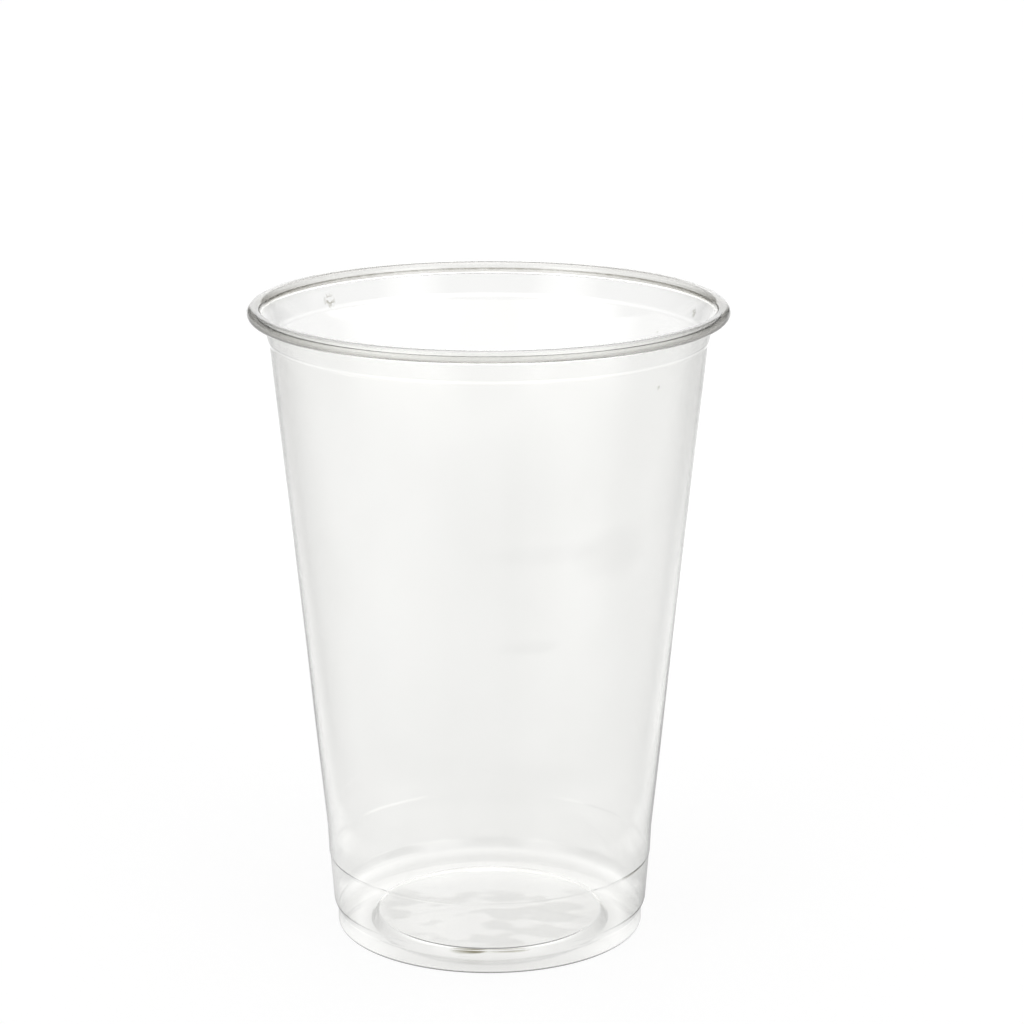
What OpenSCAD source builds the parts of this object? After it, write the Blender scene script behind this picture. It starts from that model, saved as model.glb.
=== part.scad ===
// Clear cold-drink cup, thermoformed in one piece from a sheet of compostable plastic.
// The section is one centre line: from the middle of the floor out to the foot, up the
// drafted side, over the neck and round the rolled rim. The line is given the thickness
// of the sheet and turned about the cup's axis.
// Heights count from the table that the cup stands on, and diameters are outside ones.

/* [Sheet] */
// Thickness of the side, the neck and the rim
wall_t = 0.26; // [0.2:0.02:0.36]
// Thickness of the floor's panel, where the sheet is drawn least
floor_t = 0.36; // [0.24:0.02:0.6]
// Thickness of the foot, where it is drawn most
foot_t = 0.2; // [0.14:0.02:0.4]

/* [Rolled rim] */
// Height of the cup, from the table to the top of the roll
cup_h = 97; // [70:0.5:140]
// Diameter over the roll, which a lid presses on to
rim_d = 71.6; // [62:0.2:90]
// Thickness of the roll itself, from side to side
roll_d = 2.1; // [1.8:0.1:3]
// Angle through which the cut edge is tucked up inside the roll
tuck_turn = 110; // [20:5:120]
// Gap between the tucked edge and the neck
tuck_gap = 0.05; // [0.05:0.05:0.25]

/* [Neck] */
// Drop from the top of the roll to the neck's step
neck_h = 4.8; // [3.6:0.1:10]
// Flare of the neck from upright, in degrees
neck_flare = 15; // [5:1:20]
// How far the side stands in from the neck
step_w = 0.28; // [0.1:0.02:1]
// Height of the sloping step between the two
step_h = 0.7; // [0.4:0.1:2]
// Inside radius of the step's two bends
step_r = 0.3; // [0.1:0.1:1.5]

/* [Stacking ledge] */
// Diameter of the side at the top of the stacking band
band_d = 49.9; // [49.6:0.1:56]
// Height of the band, which stands steeper than the side
band_h = 4; // [2:0.5:10]
// Height of the ledge under the band
ledge_z = 11.6; // [8:0.1:20]
// Diameter of the band at the ledge
ledge_d = 49.56; // [49.2:0.02:52]
// How far the ledge steps in
ledge_w = 0.12; // [0.05:0.01:0.4]
// Height over which it does so
ledge_h = 0.4; // [0.2:0.05:1]
// Inside radius of the ledge's bends
ledge_r = 0.2; // [0.05:0.05:0.4]

/* [Foot] */
// Diameter of the foot's upright band
foot_d = 47; // [42:0.1:48]
// Height of that band
foot_h = 2.6; // [1.4:0.1:4]
// Diameter over the shoulder that the foot is set in from
shoulder_d = 48.24; // [47.6:0.02:49]
// Height of the slope from the foot to the shoulder
shoulder_h = 1.4; // [0.8:0.1:4]
// Inside radius of the bends above and below that slope
shoulder_r = 0.8; // [0.3:0.1:3]
// Inside radius of the foot's lower edge
foot_r = 0.2; // [0.1:0.05:0.5]

/* [Floor] */
// Diameter of the raised panel in the middle of the floor
panel_d = 34.6; // [20:0.2:38]
// How far the panel is raised over the foot
panel_rise = 1.2; // [0.6:0.1:1.8]
// Width of the slope round the panel
panel_slope_w = 0.9; // [0.6:0.1:3]
// Inside radius of the slope's two bends
panel_r = 0.6; // [0.1:0.1:1]

/* [Hidden] */

// Turn between two neighbouring points of a bend, in degrees
arc_step = 9;
// Share of a straight stretch that the bend at either end may take up
bend_share = 0.48;

side_t = wall_t / 2;
base_t = floor_t / 2;
corner_t = foot_t / 2;
roll_r = roll_d / 2 - side_t;
roll_centre = [(rim_d - roll_d) / 2, cup_h - roll_d / 2];
tuck_r = roll_r * cos(neck_flare) - wall_t - tuck_gap;
tuck_centre = roll_centre - [0, roll_r - tuck_r];
neck_top = roll_centre + roll_r * heading(180 - neck_flare);
neck_z = cup_h - neck_h;
neck_foot = [neck_top[0] - (neck_top[1] - neck_z) * tan(neck_flare), neck_z];
panel_foot = [panel_d / 2 + panel_slope_w, corner_t];
foot_corner = [foot_d / 2 - corner_t, corner_t];
shoulder_z = foot_h + shoulder_h;

// Unit step along a heading, which is counted in degrees from straight outwards
function heading(angle) = [cos(angle), sin(angle)];

// Heading of the straight line from one point to another
function heading_to(from, to) = atan2(to[1] - from[1], to[0] - from[0]);

// How far a value has come from a start to an end, from 0 to 1
function share(value, start, end) = max(0, min(1, (value - start) / (end - start)));

// Thickness of the sheet at a point of its centre line. It thins on the slope round the
// floor's panel, and thickens again from the foot up to the ledge.
function sheet_t(point) =
    floor_t
    + (foot_t - floor_t) * share(point[0], panel_d / 2, panel_foot[0])
    + (wall_t - foot_t) * share(point[1], panel_rise + floor_t, ledge_z);

// Stations along an arc, each one a point of the centre line and the heading there
function arc(centre, radius, start, end) =
    let (side = sign(end - start))
    let (steps = ceil(abs(end - start) / arc_step))
    [for (i = [0 : steps])
        let (angle = start + (end - start) * i / steps)
        [centre - side * radius * heading(angle + 90), angle]];

// Stations round the bend at b, on the way from a to c. The radius is the one inside
// the bend, so half the sheet is added for the centre line.
function bend(a, b, c, inside_r) =
    let (start = heading_to(a, b), end = heading_to(b, c))
    let (half_tan = tan(abs(end - start) / 2))
    let (room = bend_share * min(norm(b - a), norm(c - b)) / half_tan)
    let (radius = min(inside_r + sheet_t(b) / 2, room))
    let (first = b - radius * half_tan * heading(start))
    let (centre = first + sign(end - start) * radius * heading(start + 90))
    arc(centre, radius, start, end);

// Corners of the centre line from the middle of the floor to the foot of the neck, each
// one as [point, inside radius of its bend]
floor_corners = [
    [[panel_d / 2, panel_rise + base_t], panel_r],
    [panel_foot, panel_r]
];
foot_corners = [
    [foot_corner, foot_r],
    [[foot_corner[0], foot_h], shoulder_r],
    [[shoulder_d / 2 - sheet_t([foot_corner[0], shoulder_z]) / 2, shoulder_z], shoulder_r]
];
side_corners = [
    [[ledge_d / 2 - ledge_w - side_t, ledge_z - ledge_h], ledge_r],
    [[ledge_d / 2 - side_t, ledge_z], ledge_r],
    [[band_d / 2 - side_t, ledge_z + band_h], shoulder_r],
    [[neck_foot[0] - step_w, neck_z - step_h], step_r],
    [neck_foot, step_r]
];
corners = concat(floor_corners, foot_corners, side_corners);
floor_middle = [0, panel_rise + base_t];
line_ends = concat([floor_middle], [for (c = corners) c[0]], [neck_top]);

// Stations of the whole centre line
body_line = [
    for (i = [0 : len(corners) - 1])
        each bend(line_ends[i], line_ends[i + 1], line_ends[i + 2], corners[i][1])
];
roll_line = arc(roll_centre, roll_r, 90 - neck_flare, -180);
tuck_line = arc(tuck_centre, tuck_r, -180, -180 - tuck_turn);
centre_line = concat([[floor_middle, 0]], body_line, roll_line, tuck_line);

// The two faces of the sheet: side is -1 for the outer face and 1 for the inner one
function face(side) = [
    for (s = centre_line) s[0] + side * sheet_t(s[0]) / 2 * heading(s[1] + 90)
];
function reversed(points) = [for (i = [len(points) - 1 : -1 : 0]) points[i]];

module cup_section() {
    polygon(concat(face(-1), reversed(face(1))));
}

module cup() {
    color([0.92, 0.94, 0.91, 0.4])
        rotate_extrude($fn = 180)
            cup_section();
}

cup();
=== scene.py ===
# %% [markdown]
# # A clear compostable cup
#
# The real cup is one sheet of clear plastic, heated and drawn into a mould, with its top
# edge rolled outwards. Nothing about it is opaque. What the eye sees is the white
# backdrop through the sheet, a little dimmer wherever light is lost to reflection, and a
# few dark or bright lines where the sheet bends: the roll, the neck, the ledge, the foot
# and the edge of the floor's panel.
#
# So the lesson is about three things: an accurate thin wall with two faces, a plastic
# that bends light as the real one does, and surroundings that give it something to show.

import math

import bmesh
import bpy
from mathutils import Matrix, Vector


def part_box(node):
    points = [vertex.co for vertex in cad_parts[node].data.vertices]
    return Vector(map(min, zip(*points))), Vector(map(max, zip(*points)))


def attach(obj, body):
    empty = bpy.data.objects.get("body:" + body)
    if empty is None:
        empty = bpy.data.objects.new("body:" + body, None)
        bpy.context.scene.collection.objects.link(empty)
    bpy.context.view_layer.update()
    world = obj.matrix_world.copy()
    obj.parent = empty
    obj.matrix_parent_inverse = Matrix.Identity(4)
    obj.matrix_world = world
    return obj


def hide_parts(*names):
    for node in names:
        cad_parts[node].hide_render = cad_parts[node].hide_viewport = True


MM = 0.001

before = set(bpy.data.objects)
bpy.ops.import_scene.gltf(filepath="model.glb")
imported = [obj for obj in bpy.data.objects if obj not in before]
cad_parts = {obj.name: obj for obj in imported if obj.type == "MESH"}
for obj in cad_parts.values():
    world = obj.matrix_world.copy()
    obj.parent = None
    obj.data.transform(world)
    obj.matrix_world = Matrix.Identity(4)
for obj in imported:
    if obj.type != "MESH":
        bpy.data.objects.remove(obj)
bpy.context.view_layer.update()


lowest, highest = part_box("cup")
cup_height = highest.z - lowest.z
rim_width = highest.x - lowest.x
print(f"cup in the frame: {rim_width / MM:.2f} mm over the rim, {cup_height / MM:.2f} mm tall")

# %% [markdown]
# ## The camera
#
# The photograph looks down on the cup at about fifteen degrees, from half a metre away,
# with a long lens. The cup stands a little left of the middle and low in the picture.

# %% Camera
scene = bpy.context.scene

camera_pitch = math.radians(14.655)
camera_place = (3.45 * MM, -465.73 * MM, 186.63 * MM)

camera_data = bpy.data.cameras.new("camera")
camera_data.lens = 112.36
camera_data.sensor_width = 36.0
camera_data.clip_start = 0.01
camera = bpy.data.objects.new("camera", camera_data)
camera.location = camera_place
camera.rotation_euler = (math.radians(90) - camera_pitch, 0, 0)
scene.collection.objects.link(camera)
scene.camera = camera
print(f"camera {camera_place[2] / MM:.0f} mm up, looking down {math.degrees(camera_pitch):.1f} degrees")

# %% [markdown]
# ## Writing node trees as sums
#
# Materials and shapes below are node trees. A tree is easier to read as an expression
# than as a list of nodes and links, so a small class wraps one output socket. Adding,
# subtracting or multiplying it adds the Math node that does so.

# %% A socket that can be reckoned with


def join(tree, source, place):
    """Gives a socket its value: a link where source is a socket, or else a constant."""
    if isinstance(source, Wire):
        tree.links.new(source.socket, place)
    else:
        place.default_value = source


def add_node(tree, kind, settings=None, sockets=None, out=0):
    """Any node: its type, its settings, then what goes into its sockets, by name or number.
    An output node has no sockets to read, so it gives nothing back."""
    node = tree.nodes.new(kind)
    for name, value in (settings or {}).items():
        setattr(node, name, value)
    for name, value in (sockets or {}).items():
        join(tree, value, node.inputs[name])
    return Wire(tree, node.outputs[out]) if node.outputs else None


class Wire:
    """One output socket of a node tree."""

    def __init__(self, tree, socket):
        self.tree = tree
        self.socket = socket

    def math(self, operation, *terms):
        return add_node(self.tree, "ShaderNodeMath", {"operation": operation}, dict(enumerate(terms)))

    def __add__(self, other):
        return self.math("ADD", self, other)

    def __sub__(self, other):
        return self.math("SUBTRACT", self, other)

    def __rsub__(self, other):
        return self.math("SUBTRACT", other, self)

    def __mul__(self, other):
        return self.math("MULTIPLY", self, other)

    def __truediv__(self, other):
        return self.math("DIVIDE", self, other)

    def __lt__(self, other):
        return self.math("LESS_THAN", self, other)

    def squared(self):
        return self.math("MULTIPLY", self, self)

    def root(self):
        return self.math("SQRT", self)

    def unsigned(self):
        """The number without its sign."""
        return self.math("ABSOLUTE", self)

    def lesser(self, other):
        return self.math("MINIMUM", self, other)

    def greater(self, other):
        return self.math("MAXIMUM", self, other)

    def rise(self, start, end):
        """0 before start, 1 after end, and a smooth slope between them."""
        smooth = {"interpolation_type": "SMOOTHSTEP"}
        return add_node(self.tree, "ShaderNodeMapRange", smooth, {0: self, 1: start, 2: end, 3: 0.0, 4: 1.0})

    def near(self, centre, half):
        """1 at a centre, falling smoothly to 0 at a half width from it."""
        return 1 - (self - centre).unsigned().rise(0.0, half)

    __radd__ = __add__
    __rmul__ = __mul__


def axes(tree, vector):
    """The three numbers of a vector."""
    split = add_node(tree, "ShaderNodeSeparateXYZ", None, {0: vector})
    return [Wire(tree, socket) for socket in split.socket.node.outputs]


def length(a, b):
    """How long a flat step is, from its two parts."""
    return (a.squared() + b.squared()).root()


print("node trees can be written as expressions")

# %% [markdown]
# ## The sheet's section
#
# Every point of the cup's section lies on one centre line, which runs from the middle
# of the floor to the cut edge inside the roll. It is made of straight stretches and of
# arcs at the bends. Each station on it keeps its heading, because the two faces of the
# sheet lie half a thickness to either side of it. The sizes are those of the solid in
# the frame, in millimetres, and the height and the rim's width are read from it.

# %% Sizes of the section, in millimetres
wall_t = 0.26
floor_t = 0.36
foot_t = 0.2
roll_d = 2.1
tuck_turn = 110
tuck_gap = 0.05
neck_h = 4.8
neck_flare = 15
step_w = 0.28
step_h = 0.7
step_r = 0.3
band_d = 49.9
band_h = 4
ledge_z = 11.6
ledge_d = 49.56
ledge_w = 0.12
ledge_h = 0.4
ledge_r = 0.2
foot_d = 47
foot_h = 2.6
shoulder_d = 48.24
shoulder_h = 1.4
shoulder_r = 0.8
foot_r = 0.2
panel_d = 34.6
panel_rise = 1.2
panel_slope_w = 0.9
panel_r = 0.6

cup_h = cup_height / MM
rim_d = rim_width / MM
roll_centre = ((rim_d - roll_d) / 2, cup_h - roll_d / 2)
print(f"the roll's middle is {roll_centre[0]:.2f} mm out and {roll_centre[1]:.2f} mm up")

# %% [markdown]
# The bends are short and tight, so they get a point every few degrees. The straight
# stretches need points too, although they are straight here, because the finished
# sheet isn't quite even and its gentle waves are made by moving points.

# %% Stations along a bend
ARC_STEP = 6
BEND_SHARE = 0.48


def along(angle, distance=1.0):
    """A step of some length along a heading, counted in degrees from straight outwards."""
    return distance * math.cos(math.radians(angle)), distance * math.sin(math.radians(angle))


def moved(point, step):
    return point[0] + step[0], point[1] + step[1]


def heading_to(a, b):
    return math.degrees(math.atan2(b[1] - a[1], b[0] - a[0]))


def share(value, start, end):
    """How far a value has come from a start to an end, from 0 to 1."""
    return min(1.0, max(0.0, (value - start) / (end - start)))


def sheet_t(point):
    """The sheet is thinnest at the foot, where it was drawn most."""
    off_the_panel = share(point[0], panel_d / 2, panel_d / 2 + panel_slope_w)
    up_the_foot = share(point[1], panel_rise + floor_t, ledge_z)
    return floor_t + (foot_t - floor_t) * off_the_panel + (wall_t - foot_t) * up_the_foot


def arc(centre, radius, start, end):
    """Stations round an arc, each one a point and the heading there."""
    side = 1 if end > start else -1
    steps = math.ceil(abs(end - start) / ARC_STEP)
    angles = [start + (end - start) * i / steps for i in range(steps + 1)]
    return [(moved(centre, along(a + 90, -side * radius)), a) for a in angles]


def bend(a, b, c, inside_r):
    """Stations round the bend at b, on the way from a to c."""
    start, end = heading_to(a, b), heading_to(b, c)
    half_tan = math.tan(math.radians(abs(end - start) / 2))
    room = BEND_SHARE * min(math.dist(a, b), math.dist(b, c)) / half_tan
    radius = min(inside_r + sheet_t(b) / 2, room)
    first = moved(b, along(start, -radius * half_tan))
    side = 1 if end > start else -1
    centre = moved(first, along(start + 90, side * radius))
    return arc(centre, radius, start, end)


print(f"bends get a station every {ARC_STEP} degrees")

# %% The centre line
STRAIGHT_STEP = 2.2


def filled(stations):
    """The same stations, with more of them along each long straight stretch."""
    full = stations[:1]
    for (a, _), (b, angle) in zip(stations, stations[1:]):
        parts = max(1, math.ceil(math.dist(a, b) / STRAIGHT_STEP))
        for i in range(1, parts):
            step = ((b[0] - a[0]) * i / parts, (b[1] - a[1]) * i / parts)
            full.append((moved(a, step), angle if i > parts / 2 else full[-1][1]))
        full.append((b, angle))
    return full


def centre_line():
    """Every station from the middle of the floor to the cut edge inside the roll."""
    side_t, base_t, corner_t = wall_t / 2, floor_t / 2, foot_t / 2
    roll_r = roll_d / 2 - side_t
    tuck_r = roll_r * math.cos(math.radians(neck_flare)) - wall_t - tuck_gap
    tuck_centre = moved(roll_centre, (0, tuck_r - roll_r))
    neck_top = moved(roll_centre, along(180 - neck_flare, roll_r))
    neck_z = cup_h - neck_h
    neck_run = (neck_top[1] - neck_z) * math.tan(math.radians(neck_flare))
    neck_foot = (neck_top[0] - neck_run, neck_z)
    floor_middle = (0.0, panel_rise + base_t)
    foot_r_mid = foot_d / 2 - corner_t
    shoulder_z = foot_h + shoulder_h
    shoulder_mid = shoulder_d / 2 - sheet_t((foot_r_mid, shoulder_z)) / 2
    corners = [
        ((panel_d / 2, panel_rise + base_t), panel_r),
        ((panel_d / 2 + panel_slope_w, corner_t), panel_r),
        ((foot_r_mid, corner_t), foot_r),
        ((foot_r_mid, foot_h), shoulder_r),
        ((shoulder_mid, shoulder_z), shoulder_r),
        ((ledge_d / 2 - ledge_w - side_t, ledge_z - ledge_h), ledge_r),
        ((ledge_d / 2 - side_t, ledge_z), ledge_r),
        ((band_d / 2 - side_t, ledge_z + band_h), shoulder_r),
        ((neck_foot[0] - step_w, neck_z - step_h), step_r),
        (neck_foot, step_r),
    ]
    ends = [floor_middle] + [point for point, _ in corners] + [neck_top]
    stations = [(floor_middle, 0.0)]
    for i, (_, inside_r) in enumerate(corners):
        stations += bend(ends[i], ends[i + 1], ends[i + 2], inside_r)
    stations += arc(roll_centre, roll_r, 90 - neck_flare, -180)
    stations += arc(tuck_centre, tuck_r, -180, -180 - tuck_turn)[1:]
    return filled(stations)


line = centre_line()
print(f"centre line of {len(line)} stations")

# %% [markdown]
# The outline goes up the outer face of the sheet, round its cut edge and back down the
# inner face. The cut edge is trimmed and heated on the real cup, so it is round.

# %% The outline of the section


def face(side):
    """One face of the sheet: side is -1 for the outer face and 1 for the inner one."""
    return [moved(p, along(a + 90, side * sheet_t(p) / 2)) for p, a in line]


def cut_edge():
    """A half circle round the end of the sheet, without its two ends."""
    point, angle = line[-1]
    return [moved(point, along(angle + turn, wall_t / 2)) for turn in range(-60, 61, 30)]


outline = face(-1) + cut_edge() + face(1)[::-1]
print(f"outline of {len(outline)} points, {max(r for r, z in outline):.2f} mm out at the most")

# %% [markdown]
# ## Turning the section into the cup
#
# A cup is a section carried round an axis. Curve to Mesh in Geometry Nodes does that:
# the path is a small circle and the profile is the outline. It needs a circle with some
# size to know which way is outwards, so the outline is shifted inwards by that much.
# A profile's Y points down here, so heights change sign.

# %% A Geometry Nodes tree with named inputs
PATH_RADIUS = 0.01


def new_tree(name, sizes):
    """A Geometry Nodes tree with one geometry in and out, and named inputs for sizes."""
    tree = bpy.data.node_groups.new(name, "GeometryNodeTree")
    sockets = tree.interface
    sockets.new_socket("Geometry", in_out="OUTPUT", socket_type="NodeSocketGeometry")
    sockets.new_socket("Geometry", in_out="INPUT", socket_type="NodeSocketGeometry")
    for label, kind in sizes:
        sockets.new_socket(label, in_out="INPUT", socket_type=kind)
    start = add_node(tree, "NodeGroupInput").socket.node
    return tree, {s.name: Wire(tree, s) for s in start.outputs if s.name}


def set_inputs(modifier, values):
    """Gives a modifier its inputs. Each one is found by name and set by identifier."""
    for socket in modifier.node_group.interface.items_tree:
        if socket.in_out == "INPUT" and socket.name in values:
            modifier[socket.identifier] = values[socket.name]


print(f"the path is a circle of {PATH_RADIUS / MM:.0f} mm")

# %% [markdown]
# A drawn sheet is never quite even. The side has long soft waves, the panel of the floor
# has shorter ones, and both faces of the sheet follow them. They are what makes the
# reflections of the real cup wander. Noise moves the side in or out and the panel up or
# down, and it fades away before the roll and before the ring that the cup stands on.

# %% The waves of the sheet
SIDE_HUMP = 26 * MM
PANEL_HUMP = 5 * MM


def wave(tree, place, hump, seed):
    """Smooth noise from -0.5 to 0.5 whose humps are about one size across."""
    noise = add_node(
        tree,
        "ShaderNodeTexNoise",
        {"noise_dimensions": "4D"},
        {"Vector": place, "W": seed, "Scale": 1.0 / hump, "Detail": 1.0},
    )
    return noise - 0.5


def wave_offset(tree, given):
    """How far each point of the turned sheet moves."""
    place = add_node(tree, "GeometryNodeInputPosition")
    x, y, z = axes(tree, place)
    out = length(x, y)
    on_side = z.rise(4 * MM, 16 * MM) * (1 - z.rise(90 * MM, 96 * MM))
    outwards = wave(tree, place, SIDE_HUMP, given["Seed"]) * on_side * given["Side wave"]
    on_panel = 1 - out.rise(15.5 * MM, 17.5 * MM)
    upwards = wave(tree, place, PANEL_HUMP, given["Seed"]) * on_panel * given["Panel wave"]
    each_mm = outwards / out.greater(1 * MM)
    return add_node(
        tree,
        "ShaderNodeCombineXYZ",
        None,
        {"X": x * each_mm, "Y": y * each_mm, "Z": upwards},
    )


print(f"waves {SIDE_HUMP / MM:.0f} mm long in the side and {PANEL_HUMP / MM:.0f} mm long in the panel")

# %% The lathe
WELD = 0.002 * MM


def lathe_tree(material):
    sizes = [
        ("Steps round", "NodeSocketInt"),
        ("Side wave", "NodeSocketFloat"),
        ("Panel wave", "NodeSocketFloat"),
        ("Seed", "NodeSocketFloat"),
    ]
    tree, given = new_tree("lathe", sizes)

    def step(kind, **sockets):
        named = {name.replace("_", " "): value for name, value in sockets.items()}
        return add_node(tree, "GeometryNode" + kind, None, named)

    path = step("CurvePrimitiveCircle", Resolution=given["Steps round"], Radius=PATH_RADIUS)
    profile = step("MeshToCurve", Mesh=given["Geometry"])
    turned = step("CurveToMesh", Curve=path, Profile_Curve=profile)
    closed = step("MergeByDistance", Geometry=turned, Distance=WELD)
    waved = step("SetPosition", Geometry=closed, Offset=wave_offset(tree, given))
    real = step("RealizeInstances", Geometry=waved)
    done = step("SetMaterial", Geometry=real, Material=material)
    add_node(tree, "NodeGroupOutput", None, {0: done})
    return tree


print(f"points closer than {WELD / MM} mm are merged")

# %% [markdown]
# ## The clear plastic
#
# The plastic is clear through and through, and bends light like most plastics: its
# index of refraction is about 1.46. It takes a little from the light at every pass.
# Everything else about its look is a matter of place: a patch is named by where it lies
# on the cup, so the shader needs the distance from the axis, the height and the
# direction round the cup. Those come from Object coordinates, in millimetres.

# %% Colours, noise and places


def blend(tree, amount, start, end):
    """A colour that goes from one to another."""
    return add_node(tree, "ShaderNodeMix", {"data_type": "RGBA"}, {0: amount, 6: start, 7: end}, out=2)


class Place:
    """Where on the cup a point is, in millimetres: x to the right, y to the back, z up, and
    out from the axis. behind goes from -1 at the front to 1 at the back, at_back is 1 only
    there, and side is 1 at the cup's left and right."""

    def __init__(self, tree):
        self.tree = tree
        self.vector = add_node(tree, "ShaderNodeTexCoord", out="Object")
        self.x, self.y, self.z = (axis / MM for axis in axes(tree, self.vector))
        self.out = length(self.x, self.y)
        self.behind = self.y / self.out.greater(1.0)
        self.at_back = self.behind.rise(0.3, 0.8)
        self.side = (self.x / self.out.greater(1.0)).squared()

    def noise(self, *hump):
        """Smooth noise from 0 to 1, with the size of its humps along each axis."""
        scale = tuple(1.0 / (n * MM) for n in hump)
        stretched = add_node(self.tree, "ShaderNodeMapping", None, {"Vector": self.vector, "Scale": scale})
        settings = {"Vector": stretched, "Scale": 1.0, "Detail": 1.0}
        return add_node(self.tree, "ShaderNodeTexNoise", None, settings)

    def spot(self, centre, reach):
        """1 at a place on the cup, falling to 0 within a reach along each axis."""
        scale = tuple(1 / (r * MM) for r in reach)
        shift = tuple(-c / r for c, r in zip(centre, reach))
        away = self.vector_math("MULTIPLY_ADD", self.vector, scale, shift)
        return 1 - self.vector_math("DOT_PRODUCT", away, away, out="Value").rise(0.0, 1.0)

    def vector_math(self, operation, *terms, out=0):
        settings = {"operation": operation}
        return add_node(self.tree, "ShaderNodeVectorMath", settings, dict(enumerate(terms)), out)


print("a look can be put at a place on the cup")

# %% [markdown]
# The sheet itself is faintly yellow, with soft clouds and upright streaks where it was
# drawn more or less. They fade out at the foot.

# %% The tint of the sheet
CLEAR = (0.995, 0.995, 0.986, 1.0)
DULL = (0.975, 0.975, 0.964, 1.0)


def sheet_tint(at, clouds):
    """The sheet's own colour, before any mark."""
    streaks = at.noise(9, 9, 60).rise(0.4, 0.7)
    return blend(at.tree, (clouds * 0.45 + streaks * 0.3) * at.z.rise(2, 6), CLEAR, DULL)


print(f"the sheet's tint is {CLEAR[0]} where it is clear and {DULL[0]} where it is dull")

# %% [markdown]
# Low on the cup the light crosses the sheet more often, so it is painted greyer there: shade
# on the panel, fading out towards its back, on the upright foot and the shoulder at the back,
# and on the ring at the front. Higher up, faint dark reflections are painted at the front of
# the side. A darker painted shade lies along the front of the panel, in the corner of its slope.

# %% Painted shade of the foot, the floor and the side
# The three greys below are colours of painted shade.
PAINTED_SHADE_GREY = (0.885, 0.885, 0.875, 1.0)
PANEL_SLOPE_SHADE = (0.25, 0.23, 0.15, 1.0)
LEDGE_SHADE = (0.6, 0.59, 0.55, 1.0)
FOOT_WALL = (22.6, 23.2)
RING_INSIDE = (18, 19)
PANEL_EDGE = (15, 17.5)
LEDGE_LINE_Z = 11.45


# Painted shade: grey at the foot's edge and shoulder at the back, on the ring at the front and on one spot
# of the foot's right wall.
def painted_shade_of_the_foot(at, broken):
    foot_wall = at.out.rise(*FOOT_WALL)
    edge = at.z.near(0.6, 2.2) * foot_wall * at.at_back
    shoulder = at.z.near(3.4, 1.4) * foot_wall * broken * at.at_back
    ring = (1 - at.y.rise(-20, -14)) * (1 - at.z.rise(2, 4)) * at.out.rise(*RING_INSIDE)
    right_wall = at.spot((23, -8, 8.6), (4, 9, 4))
    return edge + (shoulder + ring + right_wall) * 0.6


# Painted shade: mottled grey on the panel, fading out towards its back.
def painted_shade_of_the_panel(at):
    panel = (at.z < 4) * (1 - at.out.rise(*PANEL_EDGE))
    return at.noise(7, 4, 7).rise(0.46, 0.58) * (1 - at.y.rise(3, 10)) * panel


# Painted dark reflections: faint dark spots at the front of the side.
def painted_dark_reflections(at):
    dark_one = at.spot((18.2, -24.2, 65.1), (8, 8, 5))
    its_tail = at.spot((9, -29, 66), (13, 8, 2))
    low_arc = at.spot((6, -28, 52), (6, 7, 1.4))
    return dark_one * 0.36 + its_tail * 0.18 + low_arc * 0.24


def with_greys(at, tint, broken):
    """The tint with its painted shade, then the painted shade of the ledge and of the panel's slope over
    them.
    """
    painted_greys = painted_shade_of_the_panel(at) + painted_shade_of_the_foot(at, broken) + painted_dark_reflections(at)
    tint = blend(at.tree, painted_greys.lesser(1.0), tint, PAINTED_SHADE_GREY)
    # Painted shade along the ledge, on the cup's right towards the front.
    painted_ledge_shade = at.z.near(LEDGE_LINE_Z, 0.35) * at.spot((22.5, -10, 11.4), (4, 7, 2))
    tint = blend(at.tree, painted_ledge_shade, tint, LEDGE_SHADE)
    # Painted shade along the front of the panel, in the corner of its slope.
    painted_slope_shade = at.spot((-3.8, -17.2, 1.2), (4.2, 0.9, 0.5))
    its_tail = at.spot((4, -17.2, 1.2), (8, 0.9, 0.25))
    amount = (painted_slope_shade + its_tail * 0.3) * 2.0 * (0.4 + broken)
    return blend(at.tree, amount.lesser(1.0), tint, PANEL_SLOPE_SHADE)


print("greys for the panel, the foot, the ledge and the side")

# %% [markdown]
# The roll is painted a little grey all over, more at the back, and gets a painted grey-olive
# shade under its widest circle, most of all at its left and right ends, because there the
# sheet turns under and the eye looks along it, and a painted dark outline along its top at
# the back. The flap that is tucked up inside it is crimped and rough, with a painted darker
# shade, least so at the front.

# %% The rolled rim
# The first four colours are painted shade on the roll and its flap.
ROLL_PAINTED_SHADE = (0.93, 0.925, 0.91, 1.0)
UNDERSIDE_PAINTED_SHADE = (0.60, 0.585, 0.54, 1.0)
OUTLINE_PAINTED_SHADE = (0.7, 0.69, 0.66, 1.0)
FLAP_PAINTED_SHADE = (0.5, 0.485, 0.44, 1.0)
ROLL_INSIDE = (34.0, 34.4)
ROLL_BOTTOM = (94.0, 94.5)
UNDERSIDE = (94.9, 96.2)
FLAP_REACH = (0.64, 0.8)
FLAP_BOTTOM = (95.5, 95.75)


def on_the_roll(at):
    return at.out.rise(*ROLL_INSIDE) * at.z.rise(*ROLL_BOTTOM)


def on_the_flap(at):
    """1 on the tucked part of the sheet, which lies nearer the roll's middle than the rest."""
    off_middle = length(at.out - roll_centre[0], at.z - roll_centre[1])
    crimps = at.noise(1.2, 1.2, 6).rise(0.35, 0.65)
    flap = (1 - off_middle.rise(*FLAP_REACH)) * at.z.rise(*FLAP_BOTTOM) * (0.6 + 0.4 * crimps)
    # Weaker at the front; this mask sets the flap's roughness and its painted darker shade.
    return flap * (0.3 + 0.7 * at.behind.rise(-0.9, -0.1))


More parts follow.
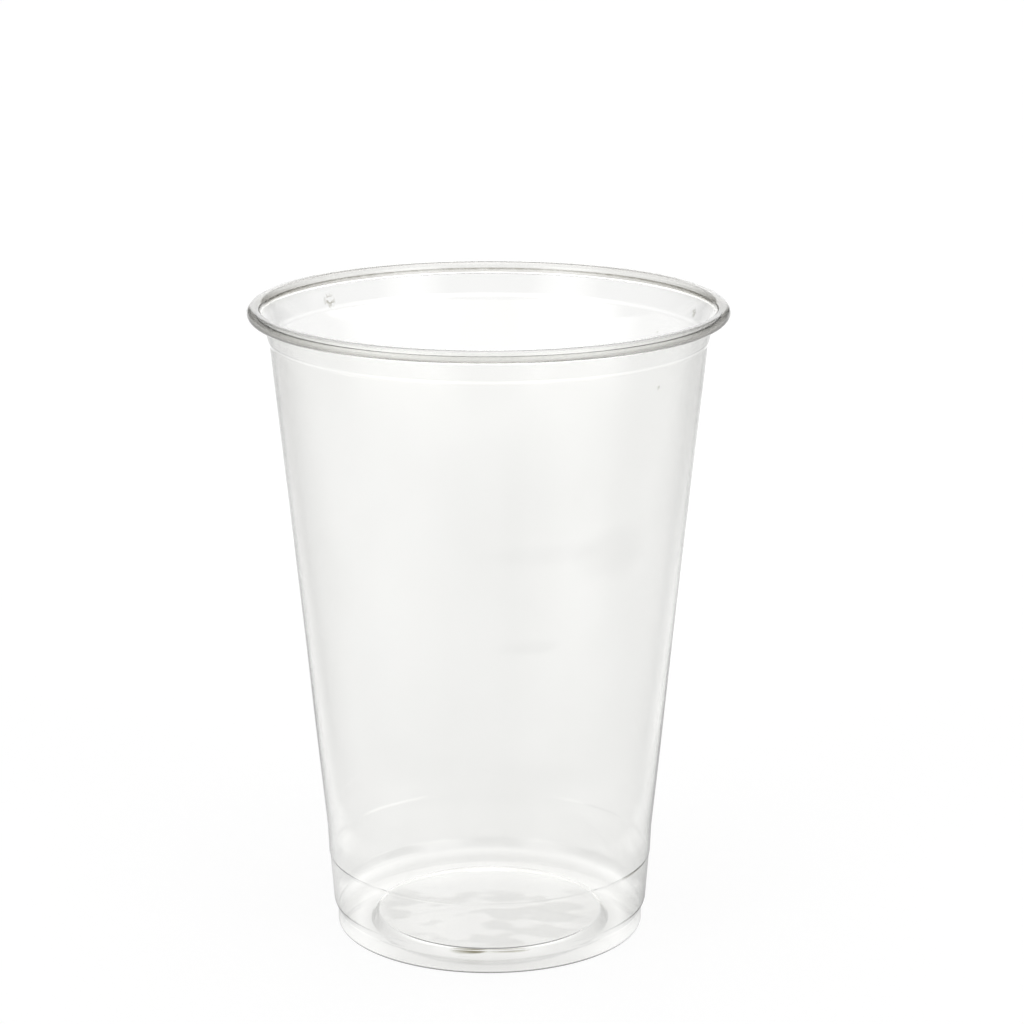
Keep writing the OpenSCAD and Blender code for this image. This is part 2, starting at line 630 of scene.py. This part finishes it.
def with_rim(at, tint, roll, flap):
    """The tint with the painted shade of the roll, its underside, its outline and its flap."""
    ends = at.side.squared()
    # Painted shade under the roll, darkest at its ends; a painted dark outline on its top at the back;
    # painted shade on its inner side at the ends.
    painted_underside_shade = (1 - at.z.rise(*UNDERSIDE)) * roll * (0.2 + 0.8 * ends) * (1 - 0.8 * at.at_back)
    painted_outline_shade = at.z.near(96.95, 0.35) * at.at_back * (0.3 + 0.7 * at.side)
    painted_inner_end_shade = ends * at.out.near(ROLL_INSIDE[0], 0.8) * at.z.rise(94.2, 95.0) * 0.5
    # A light painted shade over the whole roll, stronger at the back.
    tint = blend(at.tree, roll * (0.15 + 0.5 * at.at_back), tint, ROLL_PAINTED_SHADE)
    tint = blend(at.tree, painted_underside_shade, tint, UNDERSIDE_PAINTED_SHADE)
    tint = blend(at.tree, painted_outline_shade.greater(painted_inner_end_shade), tint, OUTLINE_PAINTED_SHADE)
    return blend(at.tree, flap, tint, FLAP_PAINTED_SHADE)


print("the roll is darkest under its ends and in the flap")

# %% [markdown]
# A few bubbles and scuffs, each about a millimetre across, are dark and rough. Fine
# noise breaks them up, so that none of them is a round dot.

# %% Bubbles and scuffs
MARK_GREY = (0.5, 0.49, 0.43, 1.0)
BUBBLES = {
    "cluster in the neck at the back left": ((-25.1, 21.9, 92.9), 1.5),
    "one in the neck at the right": ((31.5, 11.3, 93.1), 1.1),
    "one under the step at the back right": ((26.3, 19.4, 88.7), 0.6),
    "one under the step at the front right": ((24.5, -21.5, 88.7), 0.5),
    "speck low on the left": ((-25.9, -9.9, 41.3), 0.5),
    "speck in the foot at the right": ((23.8, -5.6, 8.6), 0.5),
}


def bubble_marks(at):
    speckle = at.noise(0.5, 0.5, 0.5).rise(0.5, 0.62)
    return sum(at.spot(centre, (size,) * 3) for centre, size in BUBBLES.values()) * speckle


print(f"{len(BUBBLES)} bubbles and scuffs")

# %% [markdown]
# The bends of the neck's step and the edge of the panel pipe light out of the sheet, so
# they look like fine white lines, and the foot and the ring round the panel glow softly.
# Real light gets there by many turns inside the sheet, which would cost far too many
# bounces, so a little emission stands for it. It is 0 over nearly all of the cup.

# %% Light that the sheet pipes
BLACK = (0.0, 0.0, 0.0, 1.0)
WHITE = (1.0, 1.0, 1.0, 1.0)
FLOOR_TOP = 2.2
STEP_LINE_Z = 91.9
PANEL_LINE_OUT = 17.25
RING_MIDDLE_OUT = 20.2


def piped_light(at):
    """The colour of the sheet's own light, black where it has none."""
    on_floor = at.z < FLOOR_TOP
    at_front = 1 - at.y.rise(-16, -9)
    step_line = at.z.near(STEP_LINE_Z, 0.45) * 0.05
    panel_line = at.out.near(PANEL_LINE_OUT, 0.45) * at.z.rise(0.9, 1.3) * on_floor
    panel_line = panel_line * (0.03 + 0.25 * at_front)
    ring_light = at.out.near(RING_MIDDLE_OUT, 2.0) * at.y.rise(-12, -4) * (1 - at.at_back) * 0.06
    panel_light = at.out.rise(8, 16) * at.y.rise(4, 12) * 0.03
    foot_light = at.z.near(1.6, 2.6) * at.out.rise(22.8, 23.2) * at.side * 0.1
    glow = step_line + panel_line + (ring_light + panel_light) * on_floor + foot_light
    return blend(at.tree, glow, BLACK, WHITE)


print("light for the step, the panel's edge, the ring and the foot")

# %% [markdown]
# All of it meets in one Principled shader with full transmission. A lamp can't shine
# through clear plastic by the usual sampling, so shadow rays are let through by a
# Transparent shader. This studio has no lamp, but under one the cup would otherwise throw
# a solid shadow.

# %% Clear sheet
INDEX = 1.46


def clear_sheet():
    material = bpy.data.materials.new("clear_sheet")
    material.use_nodes = True
    tree = material.node_tree
    tree.nodes.clear()

    at = Place(tree)
    clouds = at.noise(16, 16, 16).rise(0.35, 0.7)
    broken = at.noise(7, 7, 3).rise(0.3, 0.6)
    roll, flap, marks = on_the_roll(at), on_the_flap(at), bubble_marks(at)
    tint = with_greys(at, sheet_tint(at, clouds), broken)
    tint = blend(tree, marks, with_rim(at, tint, roll, flap), MARK_GREY)

    plastic = add_node(
        tree,
        "ShaderNodeBsdfPrincipled",
        None,
        {
            "Base Color": tint,
            "Roughness": 0.02 + 0.03 * clouds + 0.1 * roll + 0.25 * flap + 0.3 * marks,
            "IOR": INDEX,
            "Transmission Weight": 1.0,
            "Emission Color": piped_light(at),
            "Emission Strength": 1.0,
        },
    )
    through = add_node(tree, "ShaderNodeBsdfTransparent")
    is_shadow = add_node(tree, "ShaderNodeLightPath", out="Is Shadow Ray")
    mixed = add_node(tree, "ShaderNodeMixShader", None, {0: is_shadow, 1: plastic, 2: through})
    add_node(tree, "ShaderNodeOutputMaterial", None, {"Surface": mixed})
    material.cycles.emission_sampling = "NONE"
    return material


sheet_material = clear_sheet()
print(f"clear sheet: {len(sheet_material.node_tree.nodes)} nodes, index of refraction {INDEX}")

# %% [markdown]
# Now the outline can be turned. The result is one closed sheet with its faces outwards,
# made a plain mesh, so that the export needs no modifier.

# %% The cup
STEPS_ROUND = 256
SIDE_WAVE = 0.10 * MM
PANEL_WAVE = 0.06 * MM
SEED = 3.0


def outline_object():
    """The outline as a closed ring of edges, set so that the lathe's path carries it."""
    mesh = bpy.data.meshes.new("cup")
    points = [(r * MM - PATH_RADIUS, -z * MM, 0.0) for r, z in outline]
    edges = [(i, i + 1) for i in range(len(points) - 1)] + [(len(points) - 1, 0)]
    mesh.from_pydata(points, edges, [])
    thing = bpy.data.objects.new("cup_outline", mesh)
    scene.collection.objects.link(thing)
    return thing


def turned_mesh():
    """The outline turned by the lathe, as a plain mesh."""
    thing = outline_object()
    modifier = thing.modifiers.new("lathe", "NODES")
    modifier.node_group = lathe_tree(sheet_material)
    sizes = {"Steps round": STEPS_ROUND, "Side wave": SIDE_WAVE, "Panel wave": PANEL_WAVE, "Seed": SEED}
    set_inputs(modifier, sizes)
    graph = bpy.context.evaluated_depsgraph_get()
    mesh = bpy.data.meshes.new_from_object(thing.evaluated_get(graph), depsgraph=graph)
    bpy.data.objects.remove(thing)
    return mesh


def face_outwards(mesh):
    """Turns every face of the closed sheet to the outside and smooths them."""
    sheet = bmesh.new()
    sheet.from_mesh(mesh)
    bmesh.ops.recalc_face_normals(sheet, faces=sheet.faces)
    if sheet.calc_volume(signed=True) < 0:
        bmesh.ops.reverse_faces(sheet, faces=sheet.faces)
    print(f"cup: {len(sheet.faces)} faces, {sheet.calc_volume() / MM**3:.0f} cubic mm of sheet")
    sheet.to_mesh(mesh)
    sheet.free()
    mesh.shade_smooth()


cup_mesh = turned_mesh()
face_outwards(cup_mesh)
cup = bpy.data.objects.new("clear_cup", cup_mesh)
scene.collection.objects.link(cup)
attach(cup, "root")
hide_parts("cup")

# %% [markdown]
# ## The studio
#
# The cup stands on white, against white, so the picture's background is pure white. Seen
# straight through the sheet it is white too. What the sheet reflects is the rest of the
# studio: a broad soft light overhead, and a grey room round it. That grey is what draws
# the cup, because a sheet seen at a glancing angle is nearly a mirror.
#
# Light Path tells the rays apart. A ray from the camera, or one that has only passed
# through the sheet, sees the white backdrop. Any ray that has been reflected on its way
# sees the studio.

# %% Rays that see the backdrop


def sees_backdrop(tree):
    """1 for a ray that comes straight from the camera or only through clear plastic."""
    rays = add_node(tree, "ShaderNodeLightPath").socket.node.outputs
    straight = Wire(tree, rays["Is Camera Ray"])
    through = Wire(tree, rays["Is Transmission Ray"])
    mirrored = Wire(tree, rays["Glossy Depth"])
    scattered = Wire(tree, rays["Diffuse Depth"])
    return straight.greater(through * (mirrored + scattered < 0.5))


def white_or(tree, mirrored, straight):
    """Shows one shader to mirrored rays and another to straight ones."""
    sockets = {0: sees_backdrop(tree), 1: mirrored, 2: straight}
    return add_node(tree, "ShaderNodeMixShader", None, sockets)


print("straight rays see white, mirrored rays see the studio")

# %% [markdown]
# The room that mirrored rays see is written by direction: how far behind the cup, how
# far to its right, and how high. The strip of backdrop behind the cup is narrow and
# bright, the front is an open room with a light horizon, two softboxes stand at the
# sides of the camera, the walls are grey and the ceiling is lit. Each one shows at a
# different place on the cup: the backdrop at the very edge of its sides, the horizon
# in the middle, the softboxes in the roll.
#
# The sky is simple and broad, so light sampling has nothing to find in it and would only
# cost time, above all for the rays that have to cross the sheet.

# %% World: the walls and lights that the sheet mirrors


def studio_world():
    """What a mirrored ray sees, by its direction: x is to the right, y to the back, z up."""
    world = bpy.data.worlds.new("studio")
    world.use_nodes = True
    tree = world.node_tree
    tree.nodes.clear()
    x, y, z = axes(tree, add_node(tree, "ShaderNodeTexCoord", out="Generated"))
    level = length(x, y).greater(0.02)
    behind, right = y / level, x / level

    backdrop = behind.rise(0.946, 0.98) * (1.12 - 0.7 * z.rise(0.3, 0.6))
    horizon = (1 - (behind - 0.27 * right).rise(-0.32, 0.15)) * (1 - z.rise(0.12, 0.18))
    horizon = horizon * (1.2 + 0.9 * behind.rise(-1.0, -0.85))
    softboxes = (0.6 * x.unsigned() - 0.62 * y + 0.5 * z).rise(0.91, 1.03) * 2.2
    walls = 0.54 * z.rise(0.34, 0.42) * (1 - behind.rise(0.8, 0.95))
    overhead = 0.77 * z.rise(0.84, 0.9)
    seen = backdrop.greater(horizon).greater(softboxes) + walls + overhead
    lit = add_node(tree, "ShaderNodeBackground", None, {"Color": WHITE, "Strength": seen})
    white = add_node(tree, "ShaderNodeBackground", None, {"Color": WHITE, "Strength": 1.0})
    add_node(tree, "ShaderNodeOutputWorld", None, {"Surface": white_or(tree, lit, white)})
    world.cycles.sampling_method = "NONE"
    return world


scene.world = studio_world()
print(f"studio: {len(scene.world.node_tree.nodes)} nodes")

# %% [markdown]
# The floor is one big pale sheet. Straight rays see paper that keeps the cup's soft
# shadow, with enough light of its own to come out white. Mirrored rays see it shaded by
# place: it is brighter behind the cup than in front of it, and the shading changes from
# the part close to the cup, through the middle of the table, to its far parts, because
# each of them shows at another height of the side.

# %% Shade of the floor, by place
FLOOR_REACH = 3.0
UNDER_THE_CUP = (20 * MM, 30 * MM)
CLOSE_TO_MIDDLE = (40 * MM, 120 * MM)
MIDDLE_TO_FAR = (150 * MM, 400 * MM)
TO_THE_EDGE = (0.6, 2.6)


def floor_shade(tree):
    """How bright a mirrored ray sees the floor."""
    x, y, z = axes(tree, add_node(tree, "ShaderNodeTexCoord", out="Object"))
    out = length(x, y).greater(0.1 * MM)
    behind, right = y / out, (x / out).rise(-0.5, 0.9)
    swept, front = behind.rise(0.857, 1.017), 1 - behind.rise(-1.0, -0.75)
    straight_back = behind.rise(0.95, 1.0) * 0.6
    left_front = behind.near(-0.5, 0.6) * (1 - right)

    close = 0.88 * behind.rise(-0.99, 0.92) - 0.16 * right - 0.15 * behind.rise(0.4, 0.8)
    middle = 0.49 + 1.4 * swept - 0.49 * right * (1 - behind.rise(-0.2, 0.5)) - 0.25 * front
    far = 0.43 + 0.9 * swept + 0.39 * left_front - 0.22 * front - 0.06 * right
    off_close, off_middle = out.rise(*CLOSE_TO_MIDDLE), out.rise(*MIDDLE_TO_FAR)
    under = (1 - out.rise(*UNDER_THE_CUP)) * 0.88
    ringed = close * (1 - off_close) + middle * off_close
    edge = out.rise(*TO_THE_EDGE) * (1 - behind.rise(-0.32, 0.15))
    return (ringed * (1 - off_middle) + far * off_middle + edge + straight_back).greater(under)


print(f"floor {2 * FLOOR_REACH:.0f} m across")

# %% Floor: a pale sheet that keeps the cup's shadow
PAPER_GREY = (0.6, 0.6, 0.6, 1.0)
OWN_LIGHT = 0.75
OWN_STRENGTH = 1.19
BELOW_THE_FOOT = 0.02 * MM


def pale_paper():
    material = bpy.data.materials.new("floor")
    material.use_nodes = True
    tree = material.node_tree
    tree.nodes.clear()
    look = {"Base Color": PAPER_GREY, "Roughness": 0.9, "Specular IOR Level": 0.0}
    paper = add_node(tree, "ShaderNodeBsdfPrincipled", None, look)
    white = add_node(tree, "ShaderNodeEmission", None, {"Color": WHITE, "Strength": OWN_STRENGTH})
    shade = add_node(tree, "ShaderNodeEmission", None, {"Color": WHITE, "Strength": floor_shade(tree)})
    pale = add_node(tree, "ShaderNodeMixShader", None, {0: OWN_LIGHT, 1: paper, 2: white})
    add_node(tree, "ShaderNodeOutputMaterial", None, {"Surface": white_or(tree, shade, pale)})
    material.cycles.emission_sampling = "NONE"
    return material


def pale_floor():
    mesh = bpy.data.meshes.new("floor")
    low, high = -FLOOR_REACH, FLOOR_REACH
    corners = [(low, low, 0), (high, low, 0), (high, high, 0), (low, high, 0)]
    mesh.from_pydata(corners, [], [(0, 1, 2, 3)])
    mesh.materials.append(pale_paper())
    floor = bpy.data.objects.new("floor", mesh)
    floor.location = (0, 0, -BELOW_THE_FOOT)
    scene.collection.objects.link(floor)


pale_floor()
print("the floor is laid")

# %% [markdown]
# A ray that enters the roll crosses the sheet many times before it leaves, so the light
# needs more bounces than an opaque object would. Twelve are enough for the roll to stay
# bright, and the view is the plain one, with colours as they are written.

# %% Light bounces and the view
scene.cycles.max_bounces = 12
scene.cycles.transmission_bounces = 12
scene.cycles.glossy_bounces = 6
scene.cycles.diffuse_bounces = 1
scene.view_settings.view_transform = "Standard"
